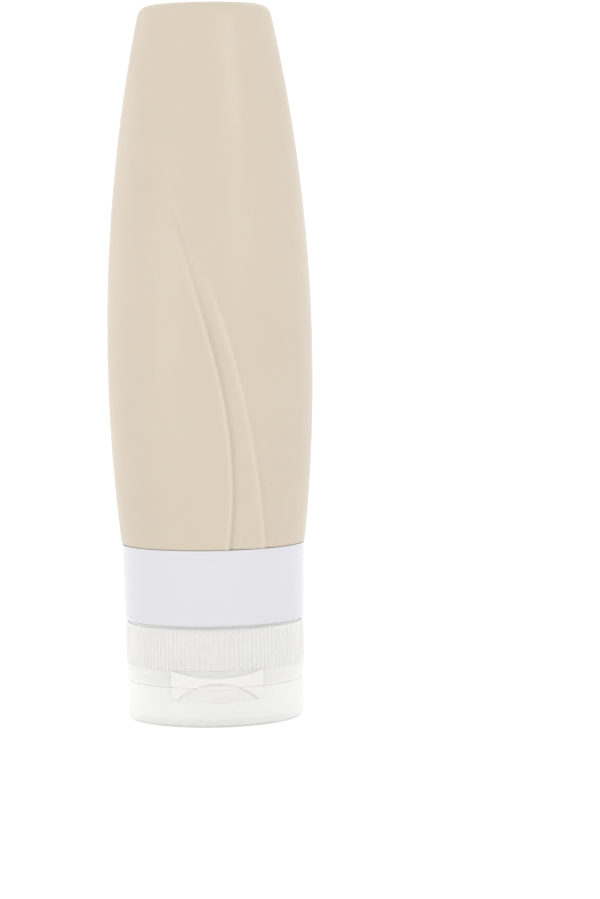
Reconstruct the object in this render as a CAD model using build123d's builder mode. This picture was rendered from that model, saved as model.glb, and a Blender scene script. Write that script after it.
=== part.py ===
"""Travel squeeze bottle: a soft silicone body on a screwed neck, with a flip-top cap.

It stands upside down on its flip lid. The origin is the centre of the lid's flat outer
face, +Z runs up the bottle's axis, and the butterfly hinge faces -Y. Lengths are in
millimetres. Round corners are chains of short cones, which keeps the facets few.
"""

import os
from math import asin, cos, degrees, radians, sin, sqrt

from build123d import *

os.makedirs("parts", exist_ok=True)

# Heights of the outside pieces, from the lid up
lid_height = 7.75
lid_seam = 0.1
cap_height = 11.45
collar_gap = 0.5
collar_height = 15.13
body_height = 107.07

# Outside radii: the collar's top is the driving one, and each step is from its neighbour
collar_radius = 18.35
collar_taper = 0.25
barrel_bulge = 2.15
cap_inset = 0.22
plain_band_inset = 0.18
lid_inset = 0.19
hinge_proud = 0.02

# Soft body
barrel_arc_radius = 325.0
widest_above_collar = 37.07
barrel_run_count = 6
body_wall = 2.0
base_wall = 2.4
base_corner_radius = 2.6
base_run_count = 3
seam_chamfer = 0.4
cavity_corner_radius = 2.0
cavity_run_count = 4
cavity_shoulder_height = 2.0
base_ring_width = 2.2
base_recess_depth = 1.0
soft_neck_wall = 2.0

# Collar round the soft neck
collar_wall = 1.7
collar_lip_thickness = 1.2
collar_bottom_round = 0.8
collar_run_count = 2
collar_fit = 0.05

# Hard neck insert inside the soft neck
neck_wall = 2.1
neck_flange_thickness = 1.4
thread_room = 1.35
lip_room = 1.1
grip_length = 11.2
grip_fit = 0.05

# Cap base: ribbed skirt, plate, spout and valve seat
rib_height = 0.28
rib_count = 120
rib_base_width = 0.8
rib_end_margin = 0.35
plain_band_height = 3.3
cap_wall = 1.35
plate_thickness = 1.45
spout_radius = 4.0
spout_height = 1.6
spout_bore_radius = 2.6
spout_chamfer = 0.35
locating_ring_height = 0.75
locating_ring_width = 0.9
locating_ring_fit = 0.19
valve_seat_radius = 6.3
valve_seat_wall = 1.1
valve_seat_margin = 0.3
thumb_recess_width = 12.0
thumb_recess_height = 2.4
thumb_recess_depth = 0.8

# Seal and valve
seal_thickness = 1.4
seal_fit = 0.85
seal_overhang = 0.2
valve_fit = 0.05
valve_flange_thickness = 1.2
valve_flange_width = 2.0
valve_membrane = 0.6
valve_slit_length = 4.4
valve_slit_width = 0.12
retainer_thickness = 1.4

# Flip lid
lid_wall = 1.3
lid_floor = 1.3
lid_floor_corner = 1.3
lid_run_count = 3
plug_fit = 0.2
plug_chamfer = 0.5
plug_reach = 1.3

# Butterfly hinge on the front
hinge_thickness = 0.8
hinge_half_width = 9.2
hinge_above_seam = 3.45
hinge_waist_above_seam = 1.85
hinge_arch_above_seam = 0.9
hinge_below_seam = 1.95
hinge_tip_inset = 1.14
hinge_tip_drop = 0.6
hinge_corner_radius = 0.3
hinge_fit = 0.08
scoop_below_seam = 3.2
scoop_depth = 0.8
scoop_rim_depth = 0.15

# How far a cut runs past the solid that it opens
overrun = 2.0

# Levels, worked out from the heights
cap_bottom_z = lid_height + lid_seam
cap_top_z = cap_bottom_z + cap_height
collar_bottom_z = cap_top_z + collar_gap
collar_top_z = collar_bottom_z + collar_height
base_z = collar_top_z + body_height
widest_z = collar_top_z + widest_above_collar
plate_top_z = cap_bottom_z + plate_thickness
neck_rim_z = plate_top_z + seal_thickness
lip_top_z = collar_bottom_z + collar_lip_thickness
flange_top_z = lip_top_z + neck_flange_thickness
grip_top_z = flange_top_z + grip_length
seam_z = lid_height + lid_seam / 2
hinge_tip_z = seam_z - hinge_below_seam - hinge_tip_drop

# Radii, worked out from the driving one, the walls and the fits
barrel_radius = collar_radius + barrel_bulge
collar_bottom_radius = collar_radius - collar_taper
collar_bore_radius = collar_bottom_radius - collar_wall
soft_neck_radius = collar_bore_radius - collar_fit
soft_neck_bore_radius = soft_neck_radius - soft_neck_wall
grip_radius = soft_neck_bore_radius - grip_fit
rib_crest_radius = collar_bottom_radius - cap_inset
rib_root_radius = rib_crest_radius - rib_height
plain_band_radius = rib_crest_radius - plain_band_inset
cap_bore_radius = rib_root_radius - cap_wall
thread_land_radius = cap_bore_radius - thread_room
neck_bore_radius = thread_land_radius - neck_wall
lid_radius = rib_crest_radius - lid_inset
lid_bore_radius = lid_radius - lid_wall
hinge_outer_radius = rib_crest_radius + hinge_proud
hinge_inner_radius = hinge_outer_radius - hinge_thickness
hinge_tip_half_width = hinge_half_width - hinge_tip_inset
valve_radius = valve_seat_radius - valve_fit
valve_dish_radius = valve_radius - valve_flange_width


def barrel_radius_at(height, inset):
    """Radius at a height of the barrel's long arc, set into the body by an inset."""
    arc_radius = barrel_arc_radius - inset
    return barrel_radius - barrel_arc_radius + sqrt(arc_radius**2 - (height - widest_z) ** 2)


def barrel_angle_at(height, inset):
    """Angle of that arc at a height, in degrees above its widest level."""
    return degrees(asin((height - widest_z) / (barrel_arc_radius - inset)))


def arc_points(centre, radius, start, end, runs):
    """Points of an arc between two angles in degrees, as the ends of equal straight runs."""
    angles = [radians(start + (end - start) * run / runs) for run in range(runs + 1)]
    return [(centre[0] + radius * cos(a), centre[1] + radius * sin(a)) for a in angles]


def barrel_points(low_z, top_z, inset, corner_radius, runs, corner_runs):
    """A barrel side from a low level to a flat top, with a tangent corner arc between."""
    corner_inset = inset + corner_radius
    corner_z = top_z - corner_radius
    corner_angle = barrel_angle_at(corner_z, corner_inset)
    side = arc_points(
        (barrel_radius - barrel_arc_radius, widest_z),
        barrel_arc_radius - inset,
        barrel_angle_at(low_z, inset),
        corner_angle,
        runs,
    )
    corner = arc_points(
        (barrel_radius_at(corner_z, corner_inset), corner_z),
        corner_radius,
        corner_angle,
        90,
        corner_runs,
    )
    return side + corner[1:]


# Soft body: a barrel turned from one long arc, hollow, with a neck that the collar grips
shoulder_z = collar_top_z + cavity_shoulder_height
outer_side = barrel_points(
    collar_top_z, base_z, 0, base_corner_radius, barrel_run_count, base_run_count
)
inner_side = barrel_points(
    shoulder_z, base_z - base_wall, body_wall, cavity_corner_radius, cavity_run_count, 1
)
base_flat_radius = outer_side[-1][0]
with BuildPart() as squeeze_body:
    with BuildSketch(Plane.XZ) as body_outline:
        with BuildLine():
            Polyline((0, collar_top_z), *outer_side, (0, base_z), close=True)
        make_face()
        chamfer(
            body_outline.vertices().group_by(Axis.Y)[0].sort_by(Axis.X)[-1],
            seam_chamfer,
        )
    revolve(axis=Axis.Z)
    with BuildSketch(Plane.XY.offset(flange_top_z)):
        Circle(soft_neck_radius)
    extrude(amount=shoulder_z - flange_top_z)
    with BuildSketch(Plane.XZ):
        with BuildLine():
            Polyline(
                (0, flange_top_z),
                (soft_neck_bore_radius, flange_top_z),
                (soft_neck_bore_radius, collar_top_z),
                *inner_side,
                (0, base_z - base_wall),
                close=True,
            )
        make_face()
    revolve(axis=Axis.Z, mode=Mode.SUBTRACT)
    with BuildSketch(Plane.XY.offset(base_z)):
        Circle(base_flat_radius - base_ring_width)
    extrude(amount=-base_recess_depth, mode=Mode.SUBTRACT)
squeeze_body.part.label = "squeeze_body"
export_step(squeeze_body.part, "parts/squeeze_body.step")

# Collar: a gloss ring that tapers down to a lip under the neck insert's flange
collar_corner = arc_points(
    (collar_bottom_radius - collar_bottom_round, collar_bottom_z + collar_bottom_round),
    collar_bottom_round,
    0,
    -90,
    collar_run_count,
)
with BuildPart() as collar:
    with BuildSketch(Plane.XZ):
        with BuildLine():
            Polyline(
                (collar_bore_radius, lip_top_z),
                (collar_bore_radius, collar_top_z),
                (collar_radius, collar_top_z),
                *collar_corner,
                (thread_land_radius + lip_room, collar_bottom_z),
                (thread_land_radius + lip_room, lip_top_z),
                close=True,
            )
        make_face()
    revolve(axis=Axis.Z)
collar.part.label = "collar"
export_step(collar.part, "parts/collar.step")

# Neck insert: a thread land below the flange and a grip tube above it
with BuildPart() as neck_insert:
    with BuildSketch(Plane.XY.offset(neck_rim_z)):
        Circle(thread_land_radius)
    extrude(amount=lip_top_z - neck_rim_z)
    with BuildSketch(Plane.XY.offset(lip_top_z)):
        Circle(soft_neck_radius)
    extrude(amount=neck_flange_thickness)
    with BuildSketch(Plane.XY.offset(flange_top_z)):
        Circle(grip_radius)
    extrude(amount=grip_length)
    with BuildSketch(Plane.XY.offset(neck_rim_z)):
        Circle(neck_bore_radius)
    extrude(amount=grip_top_z - neck_rim_z, mode=Mode.SUBTRACT)
neck_insert.part.label = "neck_insert"
export_step(neck_insert.part, "parts/neck_insert.step")

# Seal ring: the flat gasket between the neck's rim and the cap's plate
with BuildPart() as seal_ring:
    with BuildSketch(Plane.XY.offset(plate_top_z)):
        Circle(cap_bore_radius - seal_fit)
        Circle(neck_bore_radius - seal_overhang, mode=Mode.SUBTRACT)
    extrude(amount=seal_thickness)
seal_ring.part.label = "seal_ring"
export_step(seal_ring.part, "parts/seal_ring.step")

# The hinge's outline seen from the front: a bow tie over the seam, arched underneath
with BuildSketch(Plane.XZ) as hinge_outline:
    with BuildLine():
        ThreePointArc(
            (-hinge_half_width, seam_z + hinge_above_seam),
            (0, seam_z + hinge_waist_above_seam),
            (hinge_half_width, seam_z + hinge_above_seam),
        )
        Polyline(
            (hinge_half_width, seam_z + hinge_above_seam),
            (hinge_half_width, seam_z - hinge_below_seam),
            (hinge_tip_half_width, hinge_tip_z),
        )
        ThreePointArc(
            (hinge_tip_half_width, hinge_tip_z),
            (0, seam_z + hinge_arch_above_seam),
            (-hinge_tip_half_width, hinge_tip_z),
        )
        Polyline(
            (-hinge_tip_half_width, hinge_tip_z),
            (-hinge_half_width, seam_z - hinge_below_seam),
            (-hinge_half_width, seam_z + hinge_above_seam),
        )
    make_face()
    fillet(hinge_outline.vertices(), hinge_corner_radius)

# Butterfly hinge: a thin curved plate, cut by that outline out of a tube
with BuildPart() as butterfly_hinge:
    extrude(hinge_outline.sketch, amount=hinge_outer_radius + overrun)
    with BuildSketch():
        Circle(hinge_outer_radius)
        Circle(hinge_inner_radius, mode=Mode.SUBTRACT)
    extrude(amount=cap_top_z, mode=Mode.INTERSECT)
butterfly_hinge.part.label = "butterfly_hinge"
export_step(butterfly_hinge.part, "parts/butterfly_hinge.step")

# The pocket that the hinge lies in, larger all round by the hinge's fit
with BuildPart() as hinge_pocket:
    with BuildSketch(Plane.XZ):
        offset(hinge_outline.sketch_local, amount=hinge_fit)
    extrude(amount=hinge_outer_radius + overrun)
    with BuildSketch():
        Circle(hinge_outer_radius + overrun)
        Circle(hinge_inner_radius - hinge_fit, mode=Mode.SUBTRACT)
    extrude(amount=cap_top_z, mode=Mode.INTERSECT)

# Cutter for the scoop under the hinge's arch: a lens that slopes in to a ledge
with BuildPart() as scoop_cutter:
    with BuildSketch(Plane.XZ):
        with BuildLine():
            ThreePointArc(
                (hinge_tip_half_width, hinge_tip_z),
                (0, seam_z + hinge_arch_above_seam),
                (-hinge_tip_half_width, hinge_tip_z),
            )
            ThreePointArc(
                (-hinge_tip_half_width, hinge_tip_z),
                (0, seam_z - scoop_below_seam),
                (hinge_tip_half_width, hinge_tip_z),
            )
        make_face()
    extrude(amount=lid_radius + overrun)
    with BuildSketch(Plane.XZ):
        with BuildLine():
            Polyline(
                (lid_radius - scoop_depth, seam_z - scoop_below_seam),
                (lid_radius - scoop_rim_depth, seam_z + hinge_arch_above_seam),
                (lid_radius + overrun, seam_z + hinge_arch_above_seam),
                (lid_radius + overrun, seam_z - scoop_below_seam),
                close=True,
            )
        make_face()
    revolve(axis=Axis.Z, mode=Mode.INTERSECT)

# Cutter for the thumb recess at the back of the cap's plain band, deepest at the seam
with BuildPart() as thumb_cutter:
    with BuildSketch(Plane.XZ):
        with BuildLine():
            ThreePointArc(
                (-thumb_recess_width / 2, cap_bottom_z),
                (0, cap_bottom_z + thumb_recess_height),
                (thumb_recess_width / 2, cap_bottom_z),
            )
            Line(
                (thumb_recess_width / 2, cap_bottom_z),
                (-thumb_recess_width / 2, cap_bottom_z),
            )
        make_face()
    extrude(amount=-(plain_band_radius + overrun))
    with BuildSketch(Plane.XZ):
        with BuildLine():
            Polyline(
                (plain_band_radius - thumb_recess_depth, cap_bottom_z),
                (plain_band_radius, cap_bottom_z + thumb_recess_height),
                (plain_band_radius + overrun, cap_bottom_z + thumb_recess_height),
                (plain_band_radius + overrun, cap_bottom_z),
                close=True,
            )
        make_face()
    revolve(axis=Axis.Z, mode=Mode.INTERSECT)

# The ribs round the skirt, on a thin sleeve that the cap base takes up
rib_bottom_z = cap_bottom_z + plain_band_height
with BuildPart() as rib_sleeve:
    with BuildSketch(Plane.XY.offset(rib_bottom_z)):
        Circle(rib_root_radius)
        with PolarLocations(rib_root_radius, rib_count):
            Polygon(
                (-rib_height, -rib_base_width),
                (rib_height, 0),
                (-rib_height, rib_base_width),
                align=None,
            )
        Circle(rib_root_radius - cap_wall / 2, mode=Mode.SUBTRACT)
    extrude(amount=cap_top_z - rib_end_margin - rib_bottom_z)

# Cap base: band and skirt, plate, locating ring, spout, valve seat and the cuts
with BuildPart() as cap_base:
    with BuildSketch(Plane.XY.offset(cap_bottom_z)):
        Circle(plain_band_radius)
    extrude(amount=plain_band_height)
    with BuildSketch(Plane.XY.offset(rib_bottom_z)):
        Circle(rib_root_radius)
    extrude(amount=cap_top_z - rib_bottom_z)
    with BuildSketch(Plane.XY.offset(plate_top_z)):
        Circle(cap_bore_radius)
    extrude(amount=cap_top_z - plate_top_z, mode=Mode.SUBTRACT)
    with BuildSketch(Plane.XY.offset(cap_bottom_z)):
        Circle(lid_bore_radius - locating_ring_fit)
        Circle(lid_bore_radius - locating_ring_fit - locating_ring_width, mode=Mode.SUBTRACT)
    extrude(amount=-locating_ring_height)
    with BuildSketch(Plane.XY.offset(cap_bottom_z)):
        Circle(spout_radius)
    extrude(amount=-spout_height)
    chamfer(
        cap_base.edges().filter_by(GeomType.CIRCLE).group_by(Axis.Z)[0],
        spout_chamfer,
    )
    with BuildSketch(Plane.XY.offset(plate_top_z)):
        Circle(valve_seat_radius + valve_seat_wall)
        Circle(valve_seat_radius, mode=Mode.SUBTRACT)
    extrude(amount=valve_flange_thickness + retainer_thickness + valve_seat_margin)
    with BuildSketch(Plane.XY.offset(plate_top_z)):
        Circle(spout_bore_radius)
    extrude(amount=-(plate_thickness + spout_height), mode=Mode.SUBTRACT)
    add(thumb_cutter.part, mode=Mode.SUBTRACT)
    add(rib_sleeve.part)
    add(hinge_pocket.part, mode=Mode.SUBTRACT)
cap_base.part.label = "cap_base"
export_step(cap_base.part, "parts/cap_base.step")

# Slit valve: a flanged soft disc whose thin middle has a cross cut
valve_top_z = plate_top_z + valve_flange_thickness
with BuildPart() as slit_valve:
    with BuildSketch(Plane.XY.offset(plate_top_z)):
        Circle(valve_radius)
    extrude(amount=valve_flange_thickness)
    with BuildSketch(Plane.XY.offset(plate_top_z + valve_membrane)):
        Circle(valve_dish_radius)
    extrude(amount=valve_flange_thickness - valve_membrane, mode=Mode.SUBTRACT)
    with Locations((0, 0, plate_top_z)):
        Box(valve_slit_length, valve_slit_width, 2 * valve_flange_thickness, mode=Mode.SUBTRACT)
        Box(valve_slit_width, valve_slit_length, 2 * valve_flange_thickness, mode=Mode.SUBTRACT)
slit_valve.part.label = "slit_valve"
export_step(slit_valve.part, "parts/slit_valve.step")

# Valve retainer: the ring pressed in behind the valve's flange
with BuildPart() as valve_retainer:
    with BuildSketch(Plane.XY.offset(valve_top_z)):
        Circle(valve_radius)
        Circle(valve_dish_radius, mode=Mode.SUBTRACT)
    extrude(amount=retainer_thickness)
valve_retainer.part.label = "valve_retainer"
export_step(valve_retainer.part, "parts/valve_retainer.step")

# Flip lid: a shallow cup with the spout's plug, the hinge's pocket and the scoop below it
plug_radius = spout_bore_radius - plug_fit
plug_top_z = cap_bottom_z - spout_height + plug_reach
lid_corner = arc_points(
    (lid_radius - lid_floor_corner, lid_floor_corner), lid_floor_corner, -90, 0, lid_run_count
)
with BuildPart() as flip_lid:
    with BuildSketch(Plane.XZ):
        with BuildLine():
            Polyline(
                (0, 0),
                *lid_corner,
                (lid_radius, lid_height),
                (lid_bore_radius, lid_height),
                (lid_bore_radius, lid_floor),
                (plug_radius, lid_floor),
                (plug_radius, plug_top_z - plug_chamfer),
                (plug_radius - plug_chamfer, plug_top_z),
                (0, plug_top_z),
                close=True,
            )
        make_face()
    revolve(axis=Axis.Z)
    add(hinge_pocket.part, mode=Mode.SUBTRACT)
    add(scoop_cutter.part, mode=Mode.SUBTRACT)
flip_lid.part.label = "flip_lid"
export_step(flip_lid.part, "parts/flip_lid.step")
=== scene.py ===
"""Looks of the travel squeeze bottle: moulded silicone body, gloss collar and flip-top cap.

Every piece is a surface worked out with numpy on a grid. A section (radius, height) is
carried round the bottle's axis, and fine forms such as ribs, threads, the curved relief
and the hinge's pocket are added to the radius as functions of the angle and the height.
Angles run from the front (-Y), positive towards +X. Lengths are in metres.
"""

from math import cos, sin

import bpy
import numpy as np
from mathutils import Matrix, Vector


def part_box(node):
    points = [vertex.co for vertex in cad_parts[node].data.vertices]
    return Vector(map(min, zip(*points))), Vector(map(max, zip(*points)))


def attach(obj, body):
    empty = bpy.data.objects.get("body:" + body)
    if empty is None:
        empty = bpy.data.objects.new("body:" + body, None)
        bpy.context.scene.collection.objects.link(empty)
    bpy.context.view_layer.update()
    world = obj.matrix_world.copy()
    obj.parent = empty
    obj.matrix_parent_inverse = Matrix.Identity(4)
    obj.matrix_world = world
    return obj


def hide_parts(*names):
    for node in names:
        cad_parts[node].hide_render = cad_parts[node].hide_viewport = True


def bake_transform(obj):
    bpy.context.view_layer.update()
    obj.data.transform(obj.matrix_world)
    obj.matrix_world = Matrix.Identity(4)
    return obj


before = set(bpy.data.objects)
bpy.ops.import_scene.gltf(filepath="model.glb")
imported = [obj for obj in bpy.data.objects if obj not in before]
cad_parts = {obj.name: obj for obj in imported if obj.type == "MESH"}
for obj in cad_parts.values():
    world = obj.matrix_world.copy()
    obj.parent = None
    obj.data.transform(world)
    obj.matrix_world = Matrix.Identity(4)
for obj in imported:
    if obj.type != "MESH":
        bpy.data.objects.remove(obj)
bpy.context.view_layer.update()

bl_info = {
    "name": "Travel Squeeze Bottle",
    "version": (1, 0, 0),
    "blender": (4, 5, 0),
    "location": "3D View > Sidebar > Bottle",
    "description": "Dresses the packed squeeze bottle: silicone body, collar and flip-top cap",
    "category": "Object",
}

MM = 0.001


def span(node):
    """Largest radius, lowest level and highest level of a CAD node, in metres."""
    low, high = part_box(node)
    return high.x, low.z, high.z


BODY_BOTTOM, BODY_TOP = span("squeeze_body")[1:]
COLLAR_RADIUS, COLLAR_BOTTOM, COLLAR_TOP = span("collar")
NECK_RADIUS, NECK_RIM, NECK_TOP = span("neck_insert")
CAP_RADIUS, SPOUT_TIP, CAP_TOP = span("cap_base")
LID_RADIUS, FLOOR_LEVEL = span("flip_lid")[:2]
SEAL_RADIUS, SEAL_BOTTOM, SEAL_TOP = span("seal_ring")
VALVE_RADIUS, VALVE_BOTTOM, VALVE_TOP = span("slit_valve")
RETAINER_RADIUS, RETAINER_BOTTOM, RETAINER_TOP = span("valve_retainer")
HINGE_HALF_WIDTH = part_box("butterfly_hinge")[1].x
HINGE_RADIUS = -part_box("butterfly_hinge")[0].y


def length(name, text, millimetres):
    """A size property, given here in millimetres and kept in metres."""
    return bpy.props.FloatProperty(
        name=name, description=text, default=millimetres * MM, unit="LENGTH", precision=5
    )


def angle(name, text, degrees):
    """An angle property, given here in degrees."""
    return bpy.props.FloatProperty(
        name=name, description=text, default=float(np.radians(degrees)), unit="ROTATION"
    )


def share(name, text, value):
    """A property from 0 to 1."""
    return bpy.props.FloatProperty(
        name=name, description=text, default=value, min=0.0, max=1.0, subtype="FACTOR"
    )


def number(name, text, value):
    """A plain number property."""
    return bpy.props.FloatProperty(name=name, description=text, default=value, unit="NONE")


def count(name, text, value):
    """A whole number property."""
    return bpy.props.IntProperty(
        name=name, description=text, default=value, min=1, subtype="UNSIGNED"
    )


def colour(name, text, value):
    """A colour property, in linear light."""
    return bpy.props.FloatVectorProperty(
        name=name, description=text, default=value, size=3, min=0.0, max=1.0, subtype="COLOR"
    )


class BottleBodyShape(bpy.types.PropertyGroup):
    """Sizes of the soft body."""

    barrel_radius: length("Barrel radius", "Radius at the widest level", 20.5)
    barrel_arc: length("Barrel arc", "Radius of the side's long arc", 325.0)
    widest_level: length("Widest level", "Height of the widest level", 72.0)
    wall: length("Wall", "Thickness of the side", 2.0)
    base_wall: length("Base wall", "Thickness of the closed base", 2.4)
    base_round: length("Base round", "Round between side and base", 2.6)
    recess_radius: length("Recess radius", "Radius of the base's recess", 8.58)
    recess_depth: length("Recess depth", "Depth of the base's recess", 1.0)
    seam_round: length("Seam round", "Round at the edge on the collar", 0.55)
    neck_bore: length("Neck bore", "Radius of the bore in the soft neck", 14.35)
    shoulder: length("Shoulder", "Height of the inner shoulder over the collar", 2.0)
    ridge_rise: length("Ridge rise", "Height of the first ridge over the side", 0.18)
    ridge_fall: length("Ridge fall", "Depth of the step at the first ridge's foot", 0.5)
    second_rise: length("Second rise", "Height of the second ridge over the side", 0.14)
    second_fall: length("Second fall", "Depth at the second ridge's foot", 0.26)
    crest_offset: length("Crest offset", "Distance from a crest to its foot", 0.75)
    flank: length("Flank", "Length of the gentle flank before a crest", 1.6)
    foot_fillet: length("Foot fillet", "How softly the side comes back past a foot", 0.75)
    # How much each crest's colour is lightened: a painted highlight on the crests
    first_highlight: share("First polish", "Highlight of the first crest", 0.65)
    second_highlight: share("Second polish", "Highlight of the second crest", 0.7)


class BottleCollarShape(bpy.types.PropertyGroup):
    """Sizes of the collar."""

    taper: length("Taper", "How much narrower the bottom is than the top", 0.25)
    bore: length("Bore", "Radius inside", 16.4)
    lip_bore: length("Lip bore", "Radius inside the lip", 16.0)
    lip: length("Lip", "Thickness of the lip", 1.2)
    bottom_round: length("Bottom round", "Round at the lower edge", 0.8)
    top_round: length("Top round", "Round at the upper edge", 0.16)


class BottleNeckShape(bpy.types.PropertyGroup):
    """Sizes of the hard neck insert and its thread."""

    land_radius: length("Land radius", "Radius under the thread", 14.9)
    bore: length("Bore", "Radius of the mouth", 12.8)
    flange_bottom: length("Flange bottom", "Level of the flange's lower face", 21.0)
    flange_top: length("Flange top", "Level of the flange's upper face", 22.4)
    grip_radius: length("Grip radius", "Radius of the tube inside the soft neck", 14.3)
    grip_teeth: count("Grip teeth", "Saw rings round the tube", 5)
    grip_depth: length("Grip depth", "Depth of the saw rings", 0.3)
    pitch: length("Pitch", "Rise of the thread in one turn", 3.6)
    thread_height: length("Thread height", "How far a thread stands out", 0.85)
    thread_width: length("Thread width", "Width of a thread at half its height", 1.15)


class BottleCapShape(bpy.types.PropertyGroup):
    """Sizes of the cap base, the lid and the hinge."""

    band_bottom: length("Band bottom", "Level of the cap's lower face", 7.85)
    band_top: length("Band top", "Level where the ribs start", 11.15)
    band_radius: length("Band radius", "Radius of the plain band", 17.7)
    rib_height: length("Rib height", "How far a rib stands out", 0.28)
    rib_count: count("Rib count", "Ribs round the skirt", 120)
    bore: length("Bore", "Radius inside the skirt", 16.25)
    plate_top: length("Plate top", "Level of the plate's inner face", 9.3)
    spout_radius: length("Spout radius", "Outer radius of the spout", 4.0)
    spout_bore: length("Spout bore", "Radius of the spout's bore", 2.6)
    ring_radius: length("Ring radius", "Outer radius of the ring that locates the lid", 16.2)
    ring_width: length("Ring width", "Thickness of that ring", 0.9)
    ring_height: length("Ring height", "Height of that ring", 0.75)
    seat_radius: length("Seat radius", "Radius inside the valve's seat", 6.3)
    seat_wall: length("Seat wall", "Thickness of the valve's seat", 1.1)
    seat_height: length("Seat height", "Height of the valve's seat", 2.9)
    lid_wall: length("Lid wall", "Thickness of the lid's side and floor", 1.3)
    lid_round: length("Lid round", "Round at the lid's flat face", 1.3)
    plug_radius: length("Plug radius", "Radius of the lid's plug", 2.4)
    plug_top: length("Plug top", "Level of the plug's end", 7.55)
    hinge_thickness: length("Hinge thickness", "Thickness of the hinge's plate", 0.8)
    hinge_lap: length("Hinge lap", "How far the hinge's plate laps over its pocket", 0.04)
    hinge_top: length("Hinge top", "Level of the hinge's upper corners", 11.25)
    hinge_notch: length("Hinge notch", "Level of the notch between them", 9.65)
    hinge_arch: length("Hinge arch", "Level of the arch under the hinge", 8.7)
    hinge_tip: length("Hinge tip", "Level of the hinge's lower tips", 5.25)
    hinge_tip_x: length("Hinge tip width", "Half the distance between those tips", 8.06)
    wing_start: length("Wing start", "Half width of the film between the wings", 4.25)
    wing_gap: length("Wing gap", "Gap between the plate and a wing at the seam", 0.01)
    film_reach: length("Film reach", "Half height of the film that bends", 0.3)
    film_proud: length("Film proud", "How far the film stands out of the wall", 0.015)
    film_thickness: length("Film thickness", "Thickness of that film", 0.3)
    scoop_bottom: length("Scoop bottom", "Level of the scoop's ledge", 4.6)
    scoop_depth: length("Scoop depth", "Depth of the scoop at the ledge", 0.8)
    bead_height: length("Bead height", "Height of the bead on the skirt's end", 0.48)
    bead_inset: length("Bead inset", "How far the bead lies behind the ribs", 0.5)
    seam_gap: length("Seam gap", "Gap between the lid and the cap", 0.04)
    thumb_width: length("Thumb width", "Width of the thumb recess at the back", 12.0)
    thumb_height: length("Thumb height", "Height of the thumb recess", 2.4)
    thumb_depth: length("Thumb depth", "Depth of the thumb recess", 0.8)


class BottleFinish(bpy.types.PropertyGroup):
    """Colours of the finishes."""

    silicone: colour("Silicone", "Colour of the soft body", (0.644, 0.565, 0.461))
    collar: colour("Collar", "Colour of the gloss collar", (0.690, 0.683, 0.718))
    cap: colour("Cap", "Colour of the translucent cap and lid", (0.985, 0.982, 0.97))
    hinge: colour("Hinge", "Colour of the hinge's plates and film", (0.80, 0.794, 0.776))
    neck: colour("Neck", "Colour of the hard neck", (0.92, 0.92, 0.91))
    seal: colour("Seal", "Colour of the seal", (0.90, 0.90, 0.87))
    valve: colour("Valve", "Colour of the valve", (0.91, 0.91, 0.90))
    floor: colour("Floor", "Colour of the floor", (0.95, 0.95, 0.95))
    floor_seen: colour("Floor as seen", "Colour of the floor under its lift", (0.5, 0.5, 0.5))
    cap_clearness: share("Cap clearness", "Share of light that passes one face of the cap", 0.37)
    lid_clearness: share("Lid clearness", "Share of light that passes one face of the lid", 0.26)


class BottleStage(bpy.types.PropertyGroup):
    """The camera and the lights."""

    camera_distance: length("Camera distance", "From the axis", 632.4)
    camera_height: length("Camera height", "Over the floor", 97.0)
    camera_side: angle("Camera side", "Place round the axis from the front", -1.1)
    camera_turn: angle("Camera turn", "Turn of the view to the right", 2.705)
    camera_tilt: angle("Camera tilt", "Tilt of the view upwards", -3.957)
    camera_roll: angle("Camera roll", "Roll of the camera", -0.896)
    lens: number("Lens", "Focal length in millimetres on a 36 mm long side", 126.456)
    daylight: number("Daylight", "Strength of the white surroundings on the object", 1.0)
    backdrop: number("Backdrop", "Strength of the white surroundings where they are seen", 1.04)
    key_power: number("Key power", "Watts of the soft lamp behind on the left", 0.94)
    side_power: number("Side power", "Watts of the low soft lamp in front on the left", 1.04)
    fill_power: number("Fill power", "Watts of the soft lamp on the upper right", 1.0)
    floor_lift: share("Floor lift", "Light that the floor shows where it is seen", 0.60)


def settings():
    """The scene's property groups."""
    return bpy.context.scene


def arc_level(x, low, high, half):
    """Height at x of a circular arc through (-half, low), (0, high) and (half, low)."""
    sag = high - low
    radius = (half**2 + sag**2) / (2 * sag)
    rise = np.sqrt(np.maximum(radius**2 - x**2, 0)) * np.sign(radius)
    return high - radius + rise


def ease(t):
    """Smoothstep: 3t^2 - 2t^3, with t kept between 0 and 1."""
    t = np.clip(t, 0, 1)
    return t * t * (3 - 2 * t)


def between(least, t):
    """From the least share where t is 0 to the whole where t is 1."""
    return least + (1 - least) * t


def wrap(angles):
    """The same angles between minus half a turn and half a turn."""
    return (angles + np.pi) % (2 * np.pi) - np.pi


def lies_at(radii, radius):
    """Which of the radii are that radius, but for rounding."""
    return np.isclose(radii, radius, atol=1e-7)


def bend(start, corner, stop):
    """Six points of the quadratic Bezier curve (1-t)^2 start + 2t(1-t) corner + t^2 stop."""
    t = np.linspace(0, 1, 6)[:, None]
    return (1 - t) ** 2 * start + 2 * t * (1 - t) * corner + t**2 * stop


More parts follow.
